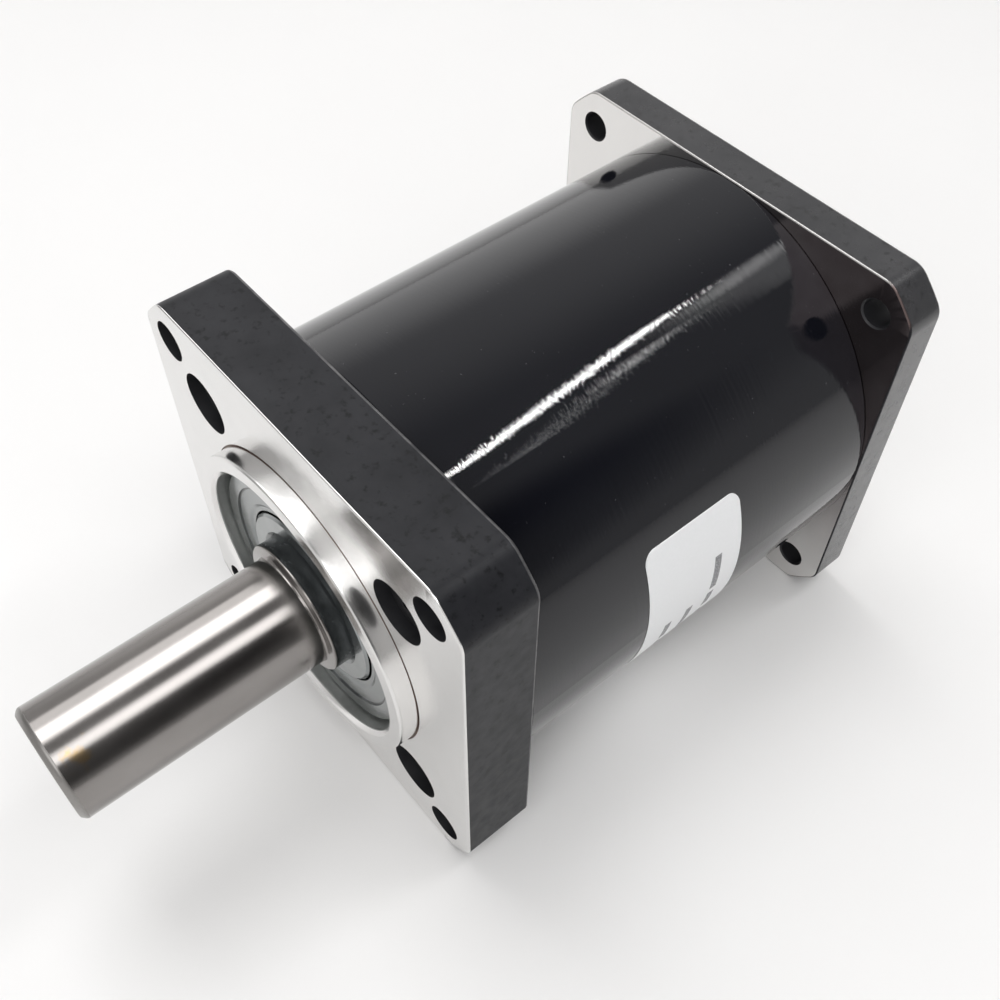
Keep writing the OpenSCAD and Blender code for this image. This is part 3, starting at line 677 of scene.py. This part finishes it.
def output_shaft(m):
    """Shaft, journal, hub and front carrier plate, with the holes of the planet pins."""
    bright, journal, chamfered = range(3)
    bm = bmesh.new()
    nose_r = SHAFT_R - SHAFT_CHAMFER
    tip = rounded((nose_r, SHAFT_TIP), (0, SHAFT_TIP), (SHAFT_R, SHAFT_TIP + SHAFT_CHAMFER), 0.2,
                  chamfered)
    tip += rounded((SHAFT_R, SHAFT_TIP + SHAFT_CHAMFER), (nose_r, SHAFT_TIP), (SHAFT_R, 0), 0.25,
                   chamfered)
    tip[-1] = (*tip[-1][:2], bright)
    tip += [(SHAFT_R, STEP_Y - 0.35, bright), (SHAFT_R + 0.12, STEP_Y - 0.08, bright),
            (SHAFT_R + 0.35, STEP_Y, bright)]
    tip += rounded((JOURNAL_R, STEP_Y), (SHAFT_R, STEP_Y), (JOURNAL_R, 0), 0.3, bright)
    tip[-1] = (*tip[-1][:2], journal)
    tip += [(JOURNAL_R, HUB_FRONT, bright), (HUB_R, HUB_FRONT, bright),
            (HUB_R, CARRIER_FRONT, bright)]
    nose, before_plate = lathe(bm, tip)
    cap(bm, [nose], chamfered)
    rim = [(CARRIER_R - CARRIER_CHAMFER, CARRIER_FRONT, bright),
           (CARRIER_R, CARRIER_FRONT + CARRIER_CHAMFER, bright),
           (CARRIER_R, CARRIER_BACK - CARRIER_CHAMFER, bright),
           (CARRIER_R - CARRIER_CHAMFER, CARRIER_BACK, bright)]
    rim_front, rim_back = lathe(bm, rim)
    pin_fronts, pin_backs = [], []
    pin_hole = [(OUTPUT_PIN_R, CARRIER_FRONT, bright), (OUTPUT_PIN_R, CARRIER_BACK, bright)]
    for centre in output_pins():
        first, last = lathe(bm, pin_hole, centre, HOLE_SIDES)
        pin_fronts.append(first)
        pin_backs.append(last)
    cap(bm, [rim_front, before_plate, *pin_fronts], bright)
    cap(bm, [rim_back, *pin_backs], bright)
    slots = [m["shaft"], m["journal"], m["chamfered"]]
    finish_mesh("output_shaft_turned", bm, slots, "output", ["output_shaft"])


def output_pins():
    """The (x, z) of each planet pin on the output carrier, in mm."""
    places = []
    for joint in frame["joints"]:
        if joint["name"].startswith("output_planet_"):
            x, _, z = joint["pos_m"]
            places.append((x / MM, z / MM))
    return places


# ---- Studio ----

def studio():
    """White room, dim all round: paler beyond the case and in front of the shaft, and
    darker low down towards +X."""
    scene = bpy.context.scene
    scene.view_settings.view_transform = "Standard"
    world = bpy.data.worlds.new("studio")
    scene.world = world
    world.use_nodes = True
    tree = world.node_tree
    tree.nodes.clear()

    def node(kind, **settings):
        made = tree.nodes.new(kind)
        for key, value in settings.items():
            setattr(made, key, value)
        return made

    def lobe(direction, outer, inner, amount):
        """Light towards a direction, full inside one angle and gone outside another."""
        dot = node("ShaderNodeVectorMath", operation="DOT_PRODUCT")
        dot.inputs[1].default_value = Vector(direction).normalized()
        tree.links.new(place, dot.inputs[0])
        ramp = node("ShaderNodeMapRange", interpolation_type="SMOOTHSTEP")
        ramp.inputs["From Min"].default_value = math.cos(math.radians(outer))
        ramp.inputs["From Max"].default_value = math.cos(math.radians(inner))
        ramp.inputs["To Max"].default_value = amount
        tree.links.new(dot.outputs["Value"], ramp.inputs["Value"])
        return ramp.outputs["Result"]

    place = node("ShaderNodeTexCoord").outputs["Generated"]
    ambient = 0.27
    lobes = (((-0.78, 0.52, 0.35), 60, 25, 0.35),
             ((-0.86, 0.50, 0.0), 36, 12, 0.45),
             ((0.85, 0.50, -0.05), 38, 5, 0.15),
             ((0.25, -0.9, 0.40), 78, 25, 0.45),
             ((0.86, 0.18, 0.46), 30, 18, -0.25))
    light = None
    for settings in lobes:
        total = node("ShaderNodeMath", operation="ADD")
        total.inputs[1].default_value = ambient
        tree.links.new(lobe(*settings), total.inputs[0])
        if light:
            tree.links.new(light, total.inputs[1])
        light = total.outputs[0]
    background = node("ShaderNodeBackground")
    output = node("ShaderNodeOutputWorld")
    background.inputs["Color"].default_value = (1.0, 0.99, 0.985, 1.0)
    tree.links.new(light, background.inputs["Strength"])
    tree.links.new(background.outputs[0], output.inputs["Surface"])


def table():
    """Square table top, under the flats of the flanges."""
    half = 0.7
    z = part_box("front_flange")[0].z
    bm = bmesh.new()
    for x, y in ((-half, -half), (half, -half), (half, half), (-half, half)):
        bm.verts.new((x, y, z))
    bm.faces.new(bm.verts)
    mesh = bpy.data.meshes.new("table")
    bm.to_mesh(mesh)
    bm.free()
    mesh.materials.append(table_white())
    made = bpy.data.objects.new("table", mesh)
    bpy.context.scene.collection.objects.link(made)


def panel_light(name, at, along, size, radiance):
    """Flat light that faces the gearbox; its second size runs as near as it can to a
    direction. radiance is that of its face, so a change of size keeps its look."""
    light = bpy.data.lights.new(name, "AREA")
    light.shape = "RECTANGLE"
    light.size, light.size_y = size
    light.energy = radiance * math.pi * size[0] * size[1]
    made = bpy.data.objects.new(name, light)
    bpy.context.scene.collection.objects.link(made)
    back = (Vector(at) - Vector((0.0, 0.02, 0.0))).normalized()
    side = Vector(along).cross(back).normalized()
    up = back.cross(side)
    made.matrix_world = Matrix((side, up, back)).transposed().to_4x4()
    made.location = at


def lights():
    """Overhead boxes beyond the case and near the viewer, and a triple tube whose thin
    lines run along the case."""
    panel_light("overhead_core", (-0.22, 0.03, 0.60), (0, 1, 0), (0.28, 0.28), 2.6)
    panel_light("overhead_box", (-0.33, 0.03, 0.601), (0, 1, 0), (0.66, 0.34), 1.5)
    panel_light("front_box", (0.26, -0.48, 0.56), (1, 0, 0), (0.45, 0.60), 1.7)
    panel_light("near_box", (0.33, 0.06, 0.60), (0, 1, 0), (0.27, 0.34), 2.0)
    panel_light("near_core", (0.33, 0.06, 0.599), (0, 1, 0), (0.15, 0.34), 1.3)
    across = Vector((0.195, 0.125, 0)).normalized()
    for offset in (-0.005, 0.0, 0.005):
        panel_light("tube", Vector((0.157, 0.350, 0.60)) + across * offset, (-0.125, 0.195, 0),
                    (0.0018, 0.22), 150.0)
    panel_light("tube_glow", (0.118, 0.54, 0.60), (-0.152, 0.216, 0), (0.05, 0.10), 2.2)
    panel_light("tube_haze", (0.18, 0.58, 0.601), (-0.152, 0.216, 0), (0.20, 0.13), 0.8)
    panel_light("reflector", (0.27, 0.39, 0.60), (-0.17, 0.133, 0), (0.005, 0.18), 9.0)
    panel_light("reflector_end", (0.213, 0.432, 0.601), (-0.17, 0.133, 0), (0.016, 0.07), 7.0)


def camera():
    """Camera of the main view, above the shaft's +X side."""
    data = bpy.data.cameras.new("camera")
    data.lens = 41.44
    data.sensor_width = 36.0
    data.clip_start = 0.005
    made = bpy.data.objects.new("camera", data)
    bpy.context.scene.collection.objects.link(made)
    made.location = (0.07079, -0.03197, 0.1137)
    made.rotation_euler = [math.radians(a) for a in (38.125, -0.49, 50.125)]
    bpy.context.scene.camera = made


# ---- Assembly ----

def paint(material, *names):
    """Gives CAD nodes a material."""
    for name in names:
        node = frame["nodes"][name]
        node.data.materials.clear()
        node.data.materials.append(material)


camera()
studio()
table()
lights()

materials = {
    "bright": machined_aluminium(),
    "lapped": lapped_aluminium(),
    "polished": polished_boss(),
    "bore": bore_grey(),
    "groove": groove_stain(),
    "anodised": black_anodised("black_anodised", (0.0115, 0.012, 0.0145),
                               (0.0225, 0.023, 0.0265), (0.36, 0.46), 0.21),
    "rear_anodised": black_anodised("rear_anodised", (0.017, 0.0175, 0.020),
                                    (0.034, 0.034, 0.037), (0.20, 0.30), 0.85),
    "rear_edge": rear_edge(),
    "hole": hole_black(),
    "worn": worn_edge(),
    "case": gloss_black(),
    "shaft": shaft_steel(),
    "journal": oily_journal(),
    "chamfered": steel("chamfered_steel", (0.22, 0.21, 0.20), (0.34, 0.33, 0.32), (0.3, 0.4)),
    "bearing": steel("bearing_steel", (0.22, 0.235, 0.235), (0.34, 0.355, 0.355), (0.14, 0.22),
                     along="r"),
    "shield": shield_steel(),
    "carrier": steel("carrier_steel", (0.30, 0.30, 0.30), (0.42, 0.42, 0.41), (0.3, 0.42),
                     along="r"),
    "gear": steel("gear_steel", (0.20, 0.21, 0.22), (0.33, 0.34, 0.35), (0.3, 0.42)),
    "collar": steel("collar_steel", (0.33, 0.32, 0.31), (0.47, 0.46, 0.45), (0.25, 0.36),
                    along="r"),
    "screw": black_oxide(),
    "bronze": bronze(),
    "label": label_film(),
}

paint(materials["case"], "ring_gear_case")
paint(materials["screw"], "front_flange_screws", "rear_flange_screws", "collar_set_screw")
paint(materials["label"], "label")
paint(materials["collar"], "pinion_collar")
for end in ("front", "rear"):
    paint(materials["bearing"], f"{end}_bearing_outer_ring", f"{end}_bearing_inner_ring",
          f"{end}_bearing_balls")
    paint(materials["carrier"], f"{end}_bearing_cage")
    paint(materials["shield"], f"{end}_bearing_shields")
paint(materials["carrier"], "outer_spacer", "inner_spacer", "output_carrier_plate",
      "first_carrier", "first_carrier_cover")
paint(materials["gear"], "output_planet_pins", "first_planet_pins", "second_sun_gear",
      "input_pinion", *(n for n in frame["nodes"] if "_planet_gear_" in n))
paint(materials["bronze"], "output_thrust_washers", "first_thrust_washers",
      *(n for n in frame["nodes"] if "_planet_bush_" in n))

front_flange(materials)
rear_flange(materials)
output_shaft(materials)
